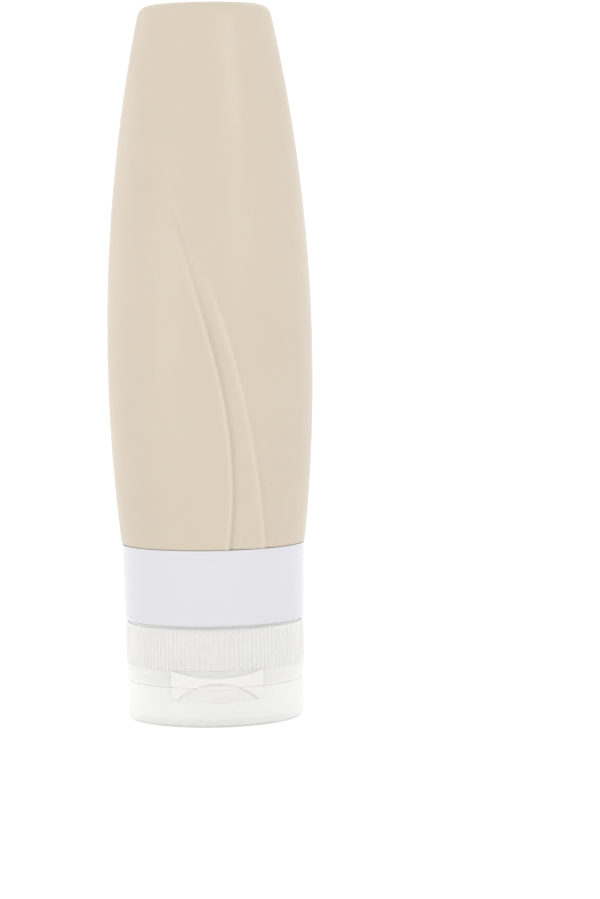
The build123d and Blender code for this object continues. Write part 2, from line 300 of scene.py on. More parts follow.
def section(corners, loop):
    """Points (radius, height) of a section that runs anticlockwise, from its corners.

    Each corner is (radius, height, cut, rows), with only the cut in millimetres. A corner is
    rounded by a bend between the points that lie a cut away from it, except at the ends of
    an open section. The straight run that leaves it is divided into that many rows.
    """
    points = np.array([corner[:2] for corner in corners], float)
    cuts = [corner[2] * MM for corner in corners]
    last = len(points) - 1
    if not loop:
        cuts[0] = cuts[last] = 0
    pieces = []
    for index, here in enumerate(points):
        following = (index + 1) % len(points)
        before, after, cut = points[index - 1], points[following], cuts[index]
        ahead = (after - here) / np.linalg.norm(after - here)
        if cut > 0:
            back = (before - here) / np.linalg.norm(before - here)
            pieces.append(bend(here + back * cut, here, here + ahead * cut))
        else:
            pieces.append(here[None, :])
        if index < last or loop:
            start, stop = here + ahead * cut, after - ahead * cuts[following]
            t = np.linspace(0, 1, corners[index][3] + 1)[1:-1, None]
            pieces.append(start + (stop - start) * t)
    return np.concatenate(pieces)


def turned(radii, heights, angles):
    """Grid of points: a row at each height, a column at each angle from the front.

    x = radius sin(angle), y = -radius cos(angle), z = height. The radii may differ along a row.
    """
    radii = np.broadcast_to(radii, (len(heights), len(angles)))
    points = np.empty((len(heights), len(angles), 3))
    points[..., 0] = radii * np.sin(angles)
    points[..., 1] = -radii * np.cos(angles)
    points[..., 2] = heights[:, None]
    return points


def skin(name, grid, loop=False, start=None, end=None, sharp=40.0):
    """A closed mesh from a grid whose columns run round and join up.

    The rows join up too where loop is true. Otherwise the first and last rows are closed by
    the points start and end. Rows run anticlockwise in (radius, height), so faces point out.
    """
    rows, columns = grid.shape[:2]
    vertices = grid.reshape(-1, 3)
    number_of = np.arange(rows * columns).reshape(rows, columns)
    right = np.roll(number_of, -1, axis=1)
    if loop:
        lower, upper = number_of, np.roll(number_of, -1, axis=0)
        lower_right, upper_right = right, np.roll(right, -1, axis=0)
    else:
        lower, upper = number_of[:-1], number_of[1:]
        lower_right, upper_right = right[:-1], right[1:]
    quads = np.stack([lower, lower_right, upper_right, upper], axis=-1).reshape(-1, 4)
    triangles = np.empty((0, 3), int)
    if not loop:
        first, final = rows * columns, rows * columns + 1
        vertices = np.concatenate([vertices, [start, end]])
        bottom = np.stack([np.full(columns, first), right[0], number_of[0]], axis=-1)
        top = np.stack([np.full(columns, final), number_of[-1], right[-1]], axis=-1)
        triangles = np.concatenate([bottom, top])
    return mesh_object(name, vertices, quads, triangles, sharp)


def mesh_object(name, vertices, quads, triangles, sharp=60.0):
    """A mesh object at the origin from whole arrays of points, quads and triangles.

    It is shaded smooth, except at edges that turn by more than sharp, in degrees.
    """
    mesh = bpy.data.meshes.new(name)
    corners = np.concatenate([quads.ravel(), triangles.ravel()]).astype(np.int32)
    sizes = np.concatenate([np.full(len(quads), 4), np.full(len(triangles), 3)])
    starts = np.concatenate([[0], np.cumsum(sizes)[:-1]]).astype(np.int32)
    mesh.vertices.add(len(vertices))
    mesh.vertices.foreach_set("co", np.ascontiguousarray(vertices, np.float32).ravel())
    mesh.loops.add(len(corners))
    mesh.loops.foreach_set("vertex_index", corners)
    mesh.polygons.add(len(sizes))
    mesh.polygons.foreach_set("loop_start", starts)
    mesh.polygons.foreach_set("use_smooth", np.ones(len(sizes), bool))
    mesh.update(calc_edges=True)
    mesh.validate()
    mesh.set_sharp_from_angle(angle=float(np.radians(sharp)))
    piece = bpy.data.objects.new(name, mesh)
    bpy.context.scene.collection.objects.link(piece)
    return piece


def even_columns(columns):
    """That many angles spread evenly round."""
    return np.arange(columns) * 2 * np.pi / columns


def columns_round(low, high, fine, coarse):
    """Angles in degrees: fine steps from low to high at the front, coarse ones behind."""
    front = np.linspace(low, high, int(round((high - low) / fine)) + 1)
    behind = np.linspace(high, low + 360, int(round((low + 360 - high) / coarse)) + 1)
    return np.radians(np.concatenate([front, behind[1:-1]]))


def ring(name, corners, columns):
    """A plain ring: the closed section through the corners, turned round the axis."""
    outline = section(corners, loop=True)
    points = turned(outline[:, :1], outline[:, 1], even_columns(columns))
    return skin(name, points, loop=True)


THREAD_FADE = 1.2 * MM


def helix(angles, heights, low, high, phase):
    """Strength from 0 to 1 of a right-hand thread at each height and angle.

    The distance of (height / pitch - angle / turn + phase) from the nearest whole number,
    times the pitch, is how far a point is from the thread's middle line. The strength
    falls from 1 to 0 over a flank round half the width, and fades at the thread's ends.
    """
    neck = settings().bottle_neck
    pitch, width = neck.pitch, neck.thread_width
    turns = heights[:, None] / pitch - angles[None, :] / (2 * np.pi) + phase
    away = np.abs(turns - np.round(turns)) * pitch
    flank = width / 2
    strength = ease((width / 2 + flank / 2 - away) / flank)
    middle = (np.round(turns) + angles[None, :] / (2 * np.pi) - phase) * pitch
    ends = ease((middle - low) / THREAD_FADE) * ease((high - middle) / THREAD_FADE)
    return strength * ends


def finish_piece(piece, body, nodes, finish):
    """Gives a piece its finish, the body it rides on and the CAD nodes it stands for."""
    piece.data.materials.append(material(finish))
    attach(piece, body)
    if nodes:
        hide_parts(*nodes)


# Materials


def put(node, values):
    """Gives a node's inputs their constant values."""
    for socket, value in values.items():
        node.inputs[socket].default_value = value
    return node


def add(tree, kind, values=None, **traits):
    """A new shader node, with its traits and then the constant values of its inputs."""
    node = tree.nodes.new("ShaderNode" + kind)
    for trait, value in traits.items():
        setattr(node, trait, value)
    return put(node, values or {})


def wire(tree, *links):
    """Makes links, each given as (node, output, node, input)."""
    for start, output, end, entry in links:
        tree.links.new(start.outputs[output], end.inputs[entry])


SCALES = ("Grain Scale", "Tone Scale", "Speck Scale")

# The part of the slow noise that is spread over the whole tone. A speck fades from its core
# to its edge, by the distance from a cell's middle, and this share of the cells has none.
TONE_RANGE = (0.3, 0.7)
SPECK_EDGE, SPECK_CORE, CELLS_BARE = 0.11, 0.05, 0.93
SPECK_TINT = (0.955, 0.95, 0.945, 1.0)


def moulded_surface():
    """Node group: the fine grain, slow tone and rare specks of a moulded surface."""
    name = "moulded surface"
    if name in bpy.data.node_groups:
        return bpy.data.node_groups[name]
    group = bpy.data.node_groups.new(name, "ShaderNodeTree")
    for label, default in zip(SCALES, (3000.0, 60.0, 900.0)):
        socket = group.interface.new_socket(
            name=label, in_out="INPUT", socket_type="NodeSocketFloat"
        )
        socket.default_value = default
    for label in ("Grain", "Tone", "Specks"):
        group.interface.new_socket(name=label, in_out="OUTPUT", socket_type="NodeSocketFloat")
    entry, leave = group.nodes.new("NodeGroupInput"), group.nodes.new("NodeGroupOutput")
    place = add(group, "TexCoord")
    grain, tone = add(group, "TexNoise", {"Detail": 2.0}), add(group, "TexNoise", {"Detail": 3.0})
    specks = add(group, "TexVoronoi")
    spread = add(group, "MapRange", {"From Min": TONE_RANGE[0], "From Max": TONE_RANGE[1]})
    rare = add(group, "MapRange", {"From Min": SPECK_EDGE, "From Max": SPECK_CORE})
    some = add(group, "Math", {1: CELLS_BARE}, operation="GREATER_THAN")
    both = add(group, "Math", operation="MULTIPLY")
    parts = add(group, "SeparateColor")
    for label, texture in zip(SCALES, (grain, tone, specks)):
        wire(group, (place, "Object", texture, "Vector"), (entry, label, texture, "Scale"))
    wire(
        group,
        (tone, "Fac", spread, "Value"), (specks, "Distance", rare, "Value"),
        (specks, "Color", parts, "Color"), (parts, 0, some, 0),
        (rare, "Result", both, 0), (some, 0, both, 1),
        (grain, "Fac", leave, "Grain"), (spread, "Result", leave, "Tone"),
        (both, 0, leave, "Specks"),
    )
    return group


def moulded_material(name, base, shade, scales, roughness, bump, plain, highlight=None):
    """A moulded plastic or rubber.

    The base colour is mixed with base times shade by the group's tone, and darkened at the
    specks. Roughness runs between two values with the tone, and the grain is a bump that
    deep in metres. plain holds constant values of the Principled BSDF's own sockets. Where
    highlight is given, the mesh's crest attribute multiplies the colour by up to that much:
    a painted highlight along the crests.
    """
    made = bpy.data.materials.new(name)
    made.use_nodes = True
    tree = made.node_tree
    shader = tree.nodes["Principled BSDF"]
    surface = add(tree, "Group", dict(zip(SCALES, scales)), node_tree=moulded_surface())
    shaded = [b * s for b, s in zip(base, shade)]
    tint = add(tree, "Mix", {6: (*base, 1.0), 7: (*shaded, 1.0)}, data_type="RGBA")
    speck = add(tree, "Mix", {7: SPECK_TINT}, data_type="RGBA", blend_type="MULTIPLY")
    rough = add(tree, "MapRange", {"To Min": roughness[0], "To Max": roughness[1]})
    relief = add(tree, "Bump", {"Strength": 1.0, "Distance": bump})
    wire(
        tree,
        (surface, "Tone", tint, 0), (tint, 2, speck, 6), (surface, "Specks", speck, 0),
        (surface, "Tone", rough, "Value"), (rough, "Result", shader, "Roughness"),
        (surface, "Grain", relief, "Height"), (relief, "Normal", shader, "Normal"),
    )
    shown = speck
    # Painted highlight: the crest attribute lightens the colour along the body's crests
    if highlight:
        crest = add(tree, "Attribute", attribute_name=CREST_HIGHLIGHT)
        highlighted = [min(b * highlight, 1.0) for b in base]
        shown = add(tree, "Mix", {7: (*highlighted, 1.0)}, data_type="RGBA")
        wire(tree, (crest, "Fac", shown, 0), (speck, 2, shown, 6))
    wire(tree, (shown, 2, shader, "Base Color"))
    put(shader, plain)
    return made


# Where the clearness changes, below and above the level, and how a slant changes it
CLEAR_BELOW, CLEAR_ABOVE = 0.2 * MM, 1.2 * MM
SEEN_SQUARE, SEEN_SLANTING = 1.12, 0.3


def milky(made, level, solid, walls):
    """Alpha of a milky plastic, from the clearness of its solid part and of its walls.

    The clearness changes by smoothstep from solid below the level to walls above it. It is
    less where a wall is seen at a slant, because the way through it is longer there.
    """
    tree = made.node_tree
    place, axes = add(tree, "TexCoord"), add(tree, "SeparateXYZ")
    clear = add(tree, "MapRange", {
        "From Min": level - CLEAR_BELOW, "From Max": level + CLEAR_ABOVE,
        "To Min": solid, "To Max": walls,
    }, interpolation_type="SMOOTHSTEP")
    slant = add(tree, "MapRange", {"To Min": SEEN_SQUARE, "To Max": SEEN_SLANTING})
    facing, passed = add(tree, "LayerWeight"), add(tree, "Math", operation="MULTIPLY")
    kept = add(tree, "Math", {0: 1.0}, operation="SUBTRACT")
    wire(
        tree,
        (place, "Object", axes, "Vector"), (axes, "Z", clear, "Value"),
        (facing, "Facing", slant, "Value"), (clear, "Result", passed, 0),
        (slant, "Result", passed, 1), (passed, 0, kept, 1),
        (kept, 0, tree.nodes["Principled BSDF"], "Alpha"),
    )


# Shade, scales of grain, tone and specks, roughness, depth of the bump, and plain values
CAP_PLASTIC = (
    (0.985, 0.985, 0.98), (1800.0, 120.0, 240.0), (0.28, 0.36), 2.0e-6, {"IOR": 1.45},
)

# A finish starts with its base colour's property, and may end with how much the colour of
# its crests is lightened, a painted highlight
FINISHES = {
    # The silicone's crests are lightened up to 1.1 times in colour: a painted highlight
    "soft silicone": (
        "silicone", (0.975, 0.97, 0.965), (2600.0, 45.0, 260.0), (0.30, 0.38), 1.0e-5,
        {"IOR": 1.41, "Subsurface Weight": 0.15, "Subsurface Radius": (1.0, 0.72, 0.5),
         "Subsurface Scale": 0.0012, "Sheen Weight": 0.12, "Sheen Roughness": 0.4}, 1.1,
    ),
    "gloss collar": (
        "collar", (0.985, 0.985, 0.985), (900.0, 90.0, 200.0), (0.16, 0.24), 1.5e-6,
        {"IOR": 1.5, "Coat Weight": 0.7, "Coat Roughness": 0.08},
    ),
    "translucent cap": ("cap", *CAP_PLASTIC),
    "translucent lid": ("cap", *CAP_PLASTIC),
    "hinge plastic": ("hinge", *CAP_PLASTIC),
    "hard neck": (
        "neck", (0.98, 0.98, 0.98), (1600.0, 80.0, 220.0), (0.3, 0.42), 5.0e-6, {"IOR": 1.49},
    ),
    "seal rubber": (
        "seal", (0.95, 0.95, 0.94), (2200.0, 120.0, 300.0), (0.6, 0.75), 1.5e-5, {"IOR": 1.45},
    ),
    "valve silicone": (
        "valve", (0.97, 0.97, 0.96), (2400.0, 150.0, 320.0), (0.4, 0.52), 1.0e-5,
        {"IOR": 1.41, "Subsurface Weight": 0.2, "Subsurface Radius": (1.0, 0.9, 0.8),
         "Subsurface Scale": 0.0012},
    ),
}
WALL_CLEARNESS = {"translucent cap": "cap_clearness", "translucent lid": "lid_clearness"}


def material(name):
    """The finish of that name, made when it is first asked for."""
    if name in bpy.data.materials:
        return bpy.data.materials[name]
    tone = settings().bottle_finish
    base, *traits = FINISHES[name]
    made = moulded_material(name, getattr(tone, base), *traits)
    if name in WALL_CLEARNESS:
        walls = getattr(tone, WALL_CLEARNESS[name])
        milky(made, settings().bottle_cap.plate_top, tone.lid_clearness, walls)
    return made


# Pieces


def barrel_radius(heights, inset):
    """Radius of the side: widest radius - arc + sqrt((arc - inset)^2 - (height - widest)^2)."""
    shape = settings().bottle_body
    reach = np.sqrt((shape.barrel_arc - inset) ** 2 - (heights - shape.widest_level) ** 2)
    return shape.barrel_radius - shape.barrel_arc + reach


# Point attribute that holds the painted highlight along the crests
CREST_HIGHLIGHT = "crest_polish"
RIDGE_LEVELS_MM = (102.0, 85.0, 68.0, 51.0, 35.0)
FIRST_FOOT_DEGREES = (-21.6, -7.0, 5.4, 11.6, 9.8)
SECOND_LEVELS_MM = (99.0, 86.0, 69.0, 52.0, 35.0)
SECOND_FOOT_DEGREES = (-16.8, 1.3, 16.2, 26.2, 34.2)

# Level where each strength begins, and the run below it over which it grows, in millimetres.
# The least shares are those of the crests and of the second foot above their levels.
FIRST_GROWS, SECOND_GROWS = (102.6, 6.0), (99.5, 8.0)
CRESTS_GROW, SECOND_FOOT_GROWS = (91.0, 18.0), (66.0, 24.0)
FIRST_HIGHLIGHT_GROWS, SECOND_HIGHLIGHT_GROWS = (103.0, 22.0), (97.0, 20.0)
LEAST_CREST, LEAST_SECOND_FOOT = 0.6, 0.35

# The climb from the first foot to the second crest: least lengths, and its share of the drop
LEAST_GAP, LEAST_CLIMB, CLIMBED_SHARE = 1e-6, 0.4 * MM, 0.25

# Reach of the painted highlight before and after each crest
FIRST_HIGHLIGHT_REACH, SECOND_HIGHLIGHT_REACH = (0.6 * MM, 0.3 * MM), (0.9 * MM, 0.35 * MM)


def foot_line(heights, levels, degrees):
    """Angle of a ridge's foot at each height: the quartic curve through five points."""
    curve = np.polyfit(np.array(levels) * MM, np.radians(degrees), len(levels) - 1)
    return np.polyval(curve, np.clip(heights, levels[-1] * MM, levels[0] * MM))


def body_relief(angles, heights, radii):
    """Height of the two curved ridges over the side, and their painted highlight, at each point.

    A ridge is told by the distance s past its foot. Before the foot the side rises by
    smoothstep over a gentle flank to a crest and falls steeply to the foot. Past the first
    foot, -drop exp(-s / fillet) and a climb by smoothstep lead to the second crest. Past
    the second foot the side comes back as -drop exp(-s / fillet). Both ridges fade out
    towards the top. The painted highlight is a bell curve of lighter colour on each crest,
    wider before it than after.
    """
    shape = settings().bottle_body
    first = foot_line(heights, RIDGE_LEVELS_MM, FIRST_FOOT_DEGREES)[:, None]
    second = foot_line(heights, SECOND_LEVELS_MM, SECOND_FOOT_DEGREES)[:, None]
    wrapped = wrap(angles[None, :])
    past_first = (wrapped - first) * radii[:, None]
    past_second = (wrapped - second) * radii[:, None]
    crest, flank, fillet = shape.crest_offset, shape.flank, shape.foot_fillet

    def grown(level, run):
        """Strength by smoothstep from 0 at the level to 1 at a run below it."""
        return ease((level * MM - heights) / (run * MM))[:, None]

    def bell(past, before, after):
        """Bell curve on the crest, with a reach before it and another after it."""
        reach = np.where(past < -crest, before, after)
        return np.exp(-(((past + crest) / reach) ** 2))

    strong, joined = grown(*FIRST_GROWS), grown(*SECOND_GROWS)
    bold = between(LEAST_CREST, grown(*CRESTS_GROW))
    rise, drop = shape.ridge_rise * strong * bold, shape.ridge_fall * strong * bold
    second_rise = shape.second_rise * joined * bold
    deep = between(LEAST_SECOND_FOOT, grown(*SECOND_FOOT_GROWS))
    second_drop = shape.second_fall * joined * deep
    left = rise * ease((past_first + crest + flank) / flank)
    left = left - (rise + drop) * ease((past_first + crest) / crest)
    gap = np.maximum(past_first - past_second, LEAST_GAP)
    climb = ease(past_first / np.maximum(gap - crest, LEAST_CLIMB))
    band = second_rise * climb - drop * CLIMBED_SHARE * (1 - climb)
    band = band - drop * (1 - CLIMBED_SHARE) * np.exp(-np.maximum(past_first, 0) / fillet)
    band = band - (second_rise + second_drop) * ease((past_second + crest) / crest)
    beyond = -second_drop * np.exp(-np.maximum(past_second, 0) / (2 * fillet))
    relief = np.where(past_first < 0, left, np.where(past_second < 0, band, beyond))
    # Painted highlight: a bell curve of lighter colour on each crest
    first_highlight = shape.first_highlight * grown(*FIRST_HIGHLIGHT_GROWS)
    second_highlight = shape.second_highlight * grown(*SECOND_HIGHLIGHT_GROWS)
    highlight = np.maximum(
        bell(past_first, *FIRST_HIGHLIGHT_REACH) * first_highlight,
        bell(past_second, *SECOND_HIGHLIGHT_REACH) * second_highlight,
    )
    front = np.abs(wrapped) < np.pi / 2
    return np.where(front, relief, 0), np.where(front, highlight, 0)


# Rows of the side: fine up to the end of the relief, and coarse above it
RELIEF_END, FINE_ROW, COARSE_ROW = 103.5 * MM, 0.5 * MM, 1.6 * MM

# The hollow: its round at the closed end, and how its wall runs into the shoulder
INNER_ROUND, SHOULDER_RUN, SHOULDER_FALL = 2.0 * MM, 2.5 * MM, 0.3 * MM
RECESS_SLOPE = 0.5 * MM

# Radius of the smallest ring of points round a pole
END_HUB, RECESS_HUB, LID_HUB, VALVE_HUB = 0.3 * MM, 0.2 * MM, 0.3 * MM, 0.1 * MM


class BOTTLE_OT_squeeze_body(bpy.types.Operator):
    """Soft body: a hollow barrel with a moulded relief of two curved ridges"""

    bl_idname = "bottle.squeeze_body"
    bl_label = "Squeeze body"

    def execute(self, context):
        shape = settings().bottle_body
        seam, side_top = COLLAR_TOP, BODY_TOP - shape.base_round
        steps = np.concatenate([
            np.arange(seam + shape.seam_round, RELIEF_END, FINE_ROW),
            np.arange(RELIEF_END, side_top, COARSE_ROW),
            [side_top],
        ])
        side = np.stack([barrel_radius(steps, 0), steps], axis=-1)
        lean = np.arcsin((side_top - shape.widest_level) / (shape.barrel_arc - shape.base_round))
        centre = barrel_radius(np.array([side_top]), shape.base_round)[0]
        turn = np.linspace(lean, np.pi / 2, 12)
        base = np.stack([
            centre + shape.base_round * np.cos(turn),
            side_top + shape.base_round * np.sin(turn),
        ], axis=-1)
        flat = base[-1, 1]
        edge = np.array([barrel_radius(np.array([seam]), 0)[0], seam])
        seam_inner = edge - [shape.seam_round, 0]
        seam_curve = bend(seam_inner, edge, side[0])
        recess = flat - shape.recess_depth
        base_in = section([
            (base[-1, 0], flat, 0, 4),
            (shape.recess_radius, flat, 0.3, 2),
            (shape.recess_radius - RECESS_SLOPE, recess, 0.5, 6),
            (RECESS_HUB, recess, 0, 1),
        ], loop=False)[1:]
        shoulder = seam + shape.shoulder
        inner_top = flat - shape.base_wall
        wall_levels = np.linspace(inner_top - INNER_ROUND, shoulder + SHOULDER_RUN, 24)
        wall = np.stack([barrel_radius(wall_levels, shape.wall), wall_levels], axis=-1)
        end_corner = np.array([wall[0, 0], inner_top])
        end_start = end_corner - [INNER_ROUND, 0]
        end_in = bend(end_start, end_corner, wall[0])
        end_flat = np.stack([
            np.linspace(END_HUB, end_start[0], 7)[:-1], np.full(6, inner_top)
        ], axis=-1)
        low_wall = barrel_radius(np.array([shoulder]), shape.wall)[0]
        throat = section([
            (wall[-1, 0], wall[-1, 1], 0, 1),
            (low_wall, shoulder, 1.6, 2),
            (shape.neck_bore, shoulder - SHOULDER_FALL, 0.5, 8),
            (shape.neck_bore, BODY_BOTTOM, 0.2, 2),
            (NECK_RADIUS, BODY_BOTTOM, 0.2, 6),
            (NECK_RADIUS, seam, 0.1, 2),
            (seam_inner[0], seam, 0, 1),
        ], loop=False)[1:-1]
        outline = np.concatenate([
            end_flat, end_in, wall[1:], throat, seam_curve, side[1:-1], base, base_in,
        ])
        first_side = len(end_flat) + len(end_in) + len(wall) - 1 + len(throat)
        last_side = first_side + len(seam_curve) + len(side) - 2
        angles = columns_round(low=-30.0, high=44.0, fine=0.42, coarse=2.2)
        radii = np.repeat(outline[:, :1], len(angles), axis=1)
        rows = slice(first_side, last_side)
        highlight = np.zeros(radii.shape)
        relief, highlight[rows] = body_relief(angles, outline[rows, 1], outline[rows, 0])
        radii[rows] += relief
        piece = skin(
            "squeeze_body_skin", turned(radii, outline[:, 1], angles),
            start=(0, 0, outline[0, 1]), end=(0, 0, outline[-1, 1]), sharp=75.0,
        )
        # The crests' painted highlight goes into a point attribute that lightens the colour
        crest = piece.data.attributes.new(CREST_HIGHLIGHT, "FLOAT", "POINT")
        crest.data.foreach_set("value", np.append(highlight.ravel(), (0.0, 0.0)))
        finish_piece(piece, "bottle", ["squeeze_body"], "soft silicone")
        return {"FINISHED"}


class BOTTLE_OT_collar(bpy.types.Operator):
    """Collar: a gloss ring, slightly tapered, rounded at its lower edge"""

    bl_idname = "bottle.collar"
    bl_label = "Collar"

    def execute(self, context):
        shape = settings().bottle_collar
        low, lip_top = COLLAR_BOTTOM, COLLAR_BOTTOM + shape.lip
        piece = ring("collar_ring_skin", [
            (shape.lip_bore, low, 0.2, 2),
            (COLLAR_RADIUS - shape.taper, low, shape.bottom_round / MM, 12),
            (COLLAR_RADIUS, COLLAR_TOP, shape.top_round / MM, 3),
            (shape.bore, COLLAR_TOP, 0.15, 6),
            (shape.bore, lip_top, 0.08, 2),
            (shape.lip_bore, lip_top, 0.15, 2),
        ], columns=240)
        finish_piece(piece, "collar_ring", ["collar"], "gloss collar")
        return {"FINISHED"}


# How far the thread stays from the rim and the flange, and the saw rings from the tube's end
THREAD_FROM_RIM, THREAD_TO_FLANGE = 1.4 * MM, 1.6 * MM
SAW_FROM_END, SAW_FADE = 0.6 * MM, 0.5 * MM


class BOTTLE_OT_neck_insert(bpy.types.Operator):
    """Neck insert: a right-hand thread below the flange and saw rings above it"""

    bl_idname = "bottle.neck_insert"
    bl_label = "Neck insert"

    def execute(self, context):
        shape = settings().bottle_neck
        outline = section([
            (shape.bore, NECK_RIM, 0.3, 3),
            (shape.land_radius, NECK_RIM, 0.3, 44),
            (shape.land_radius, shape.flange_bottom, 0.1, 2),
            (NECK_RADIUS, shape.flange_bottom, 0.1, 2),
            (NECK_RADIUS, shape.flange_top, 0.1, 3),
            (shape.grip_radius, shape.flange_top, 0.05, 60),
            (shape.grip_radius, NECK_TOP, 0.4, 3),
            (shape.bore, NECK_TOP, 0.3, 8),
        ], loop=True)
        angles = even_columns(180)
        radius, heights = outline[:, 0], outline[:, 1]
        thread = helix(
            angles, heights, NECK_RIM + THREAD_FROM_RIM, shape.flange_bottom - THREAD_TO_FLANGE,
            phase=0.0,
        )
        on_land = lies_at(radius, shape.land_radius)
        radii = radius[:, None] + on_land[:, None] * thread * shape.thread_height
        tooth = (heights - shape.flange_top) / (NECK_TOP - shape.flange_top) * shape.grip_teeth
        saw = (1 - tooth % 1) * ease((NECK_TOP - SAW_FROM_END - heights) / SAW_FADE)
        on_grip = lies_at(radius, shape.grip_radius)
        radii = radii - (on_grip * saw * shape.grip_depth)[:, None]
        piece = skin("neck_insert_skin", turned(radii, heights, angles), loop=True)
        finish_piece(piece, "bottle", ["neck_insert"], "hard neck")
        return {"FINISHED"}


def hinge_top_line(x):
    """Upper edge of the hinge: an arc that dips from the corners to the notch."""
    shape = settings().bottle_cap
    return arc_level(x, shape.hinge_top, shape.hinge_notch, HINGE_HALF_WIDTH)


def arch_line(x):
    """The arch under the hinge, between its two tips."""
    shape = settings().bottle_cap
    return arc_level(x, shape.hinge_tip, shape.hinge_arch, shape.hinge_tip_x)


# Rise of the hinge's lower edge beyond its tips
TIP_SLOPE = 0.53


def hinge_low_line(x):
    """Lower edge of the hinge: the arch between the tips, and a short slope beyond them."""
    shape = settings().bottle_cap
    beyond = shape.hinge_tip + (np.abs(x) - shape.hinge_tip_x) * TIP_SLOPE
    return np.where(np.abs(x) < shape.hinge_tip_x, arch_line(x), beyond)


# Width over which a cut's edge falls, and how far round from the front a cut may lie
CUT_EDGE, CUTS_WITHIN = 0.16 * MM, np.radians(40)


def front_cuts(angles, heights, radius):
    """Depth that the hinge's pocket and the scoop take off a radius, at each height and angle.

    The pocket is as deep as the hinge's plate within the hinge's outline, less a small lap.
    The scoop lies between the arch and a lower arc, and deepens evenly downwards.
    """
    shape = settings().bottle_cap
    wrapped = wrap(angles[None, :])
    x = radius * np.sin(wrapped) * np.ones((len(heights), 1))
    z = np.repeat(heights[:, None], len(angles), axis=1)
    front = np.abs(wrapped) < CUTS_WITHIN
    inside = np.minimum(hinge_top_line(x) - z, z - hinge_low_line(x))
    inside = np.minimum(inside, HINGE_HALF_WIDTH - np.abs(x)) - shape.hinge_lap
    pocket = radius - (HINGE_RADIUS - shape.hinge_thickness)
    deep = pocket * ease(inside / CUT_EDGE) * front
    arch = arch_line(x)
    ledge = arc_level(x, shape.hinge_tip, shape.scoop_bottom, shape.hinge_tip_x)
    within = np.where(np.abs(x) < shape.hinge_tip_x, np.minimum(arch - z, z - ledge), -1.0)
    down = (arch - z) / (shape.hinge_arch - shape.scoop_bottom)
    depth = shape.scoop_depth * np.clip(down, 0, 1)
    scoop = depth * ease(within / CUT_EDGE + 0.5) * front
    return np.maximum(deep, scoop)


# The skirt: depth of the layer that counts as its outside, the step up to the ribs, where
# the ribs begin and end, and the power of their wave, which is fuller the smaller it is
SKIRT_DEPTH, RIB_STEP, RIB_FOOT = 0.32 * MM, 0.02 * MM, 0.03 * MM
RIB_END, RIB_FADE, RIB_POWER, RIB_COLUMNS = 0.12 * MM, 0.3 * MM, 0.6, 6
THREAD_FROM_PLATE, THREAD_TO_END = 2.2 * MM, 1.2 * MM

# Cuts deeper than this take the ribs off too
DEEP_CUT = 0.5 * MM


class BOTTLE_OT_cap_base(bpy.types.Operator):
    """Cap base: ribbed skirt with a thread inside, plate, spout, valve seat and pocket"""

    bl_idname = "bottle.cap_base"
    bl_label = "Cap base"

    def execute(self, context):
        shape = settings().bottle_cap
        neck = settings().bottle_neck
        low, plate = shape.band_bottom, shape.plate_top
        root = CAP_RADIUS - shape.rib_height
        bead, bead_top = root - shape.bead_inset, CAP_TOP + shape.bead_height
        ring_in, ring_low = shape.ring_radius - shape.ring_width, low - shape.ring_height
        seat_out, seat_top = shape.seat_radius + shape.seat_wall, plate + shape.seat_height
        outline = section([
            (shape.spout_bore, SPOUT_TIP, 0.25, 1),
            (shape.spout_radius, SPOUT_TIP, 0.4, 2),
            (shape.spout_radius, low, 0.25, 5),
            (ring_in, low, 0.15, 1),
            (ring_in, ring_low, 0.15, 1),
            (shape.ring_radius, ring_low, 0.2, 1),
            (shape.ring_radius, low, 0.05, 1),
            (shape.band_radius, low, 0.06, 24),
            (shape.band_radius, shape.band_top, 0.04, 1),
            (root, shape.band_top + RIB_STEP, 0.04, 16),
            (root, CAP_TOP, 0.12, 2),
            (bead, CAP_TOP, 0.08, 2),
            (bead, bead_top, 0.08, 2),
            (shape.bore, bead_top, 0.3, 34),
            (shape.bore, plate, 0.3, 4),
            (seat_out, plate, 0.15, 2),
            (seat_out, seat_top, 0.2, 1),
            (shape.seat_radius, seat_top, 0.3, 2),
            (shape.seat_radius, plate, 0.03, 2),
            (shape.spout_bore, plate, 0.1, 3),
        ], loop=True)
        angles = even_columns(RIB_COLUMNS * shape.rib_count)
        radius, heights = outline[:, 0], outline[:, 1]
        outer = radius > root - SKIRT_DEPTH
        ribbed = outer & (heights > shape.band_top + RIB_FOOT)
        fade = ease((CAP_TOP - RIB_END - heights) / RIB_FADE) * ribbed
        wave = (0.5 + 0.5 * np.cos(angles * shape.rib_count)) ** RIB_POWER
        radii = radius[:, None] + fade[:, None] * wave[None, :] * shape.rib_height
        thread = helix(
            angles, heights, plate + THREAD_FROM_PLATE, CAP_TOP - THREAD_TO_END, phase=0.5
        )
        on_bore = lies_at(radius, shape.bore)
        radii = radii - on_bore[:, None] * thread * neck.thread_height
        cuts = front_cuts(angles, heights, shape.band_radius)
        over = np.maximum(radii - shape.band_radius, 0)
        cut = np.where(cuts > DEEP_CUT, cuts + over, cuts)
        back = np.abs(np.abs(wrap(angles)) - np.pi)
        x = shape.band_radius * np.sin(back)
        crown = arc_level(x, low, low + shape.thumb_height, shape.thumb_width / 2)
        thumb = (crown[None, :] - heights[:, None]) / shape.thumb_height
        thumb = shape.thumb_depth * np.clip(thumb, 0, 1) * (x < shape.thumb_width / 2)
        thumb = thumb * (back < np.pi / 2)
        radii = radii - outer[:, None] * np.maximum(cut, thumb)
        piece = skin("cap_base_skin", turned(radii, heights, angles), loop=True, sharp=50.0)
        finish_piece(piece, "cap", ["cap_base"], "translucent cap")
        return {"FINISHED"}


CORNER_POWER = 24


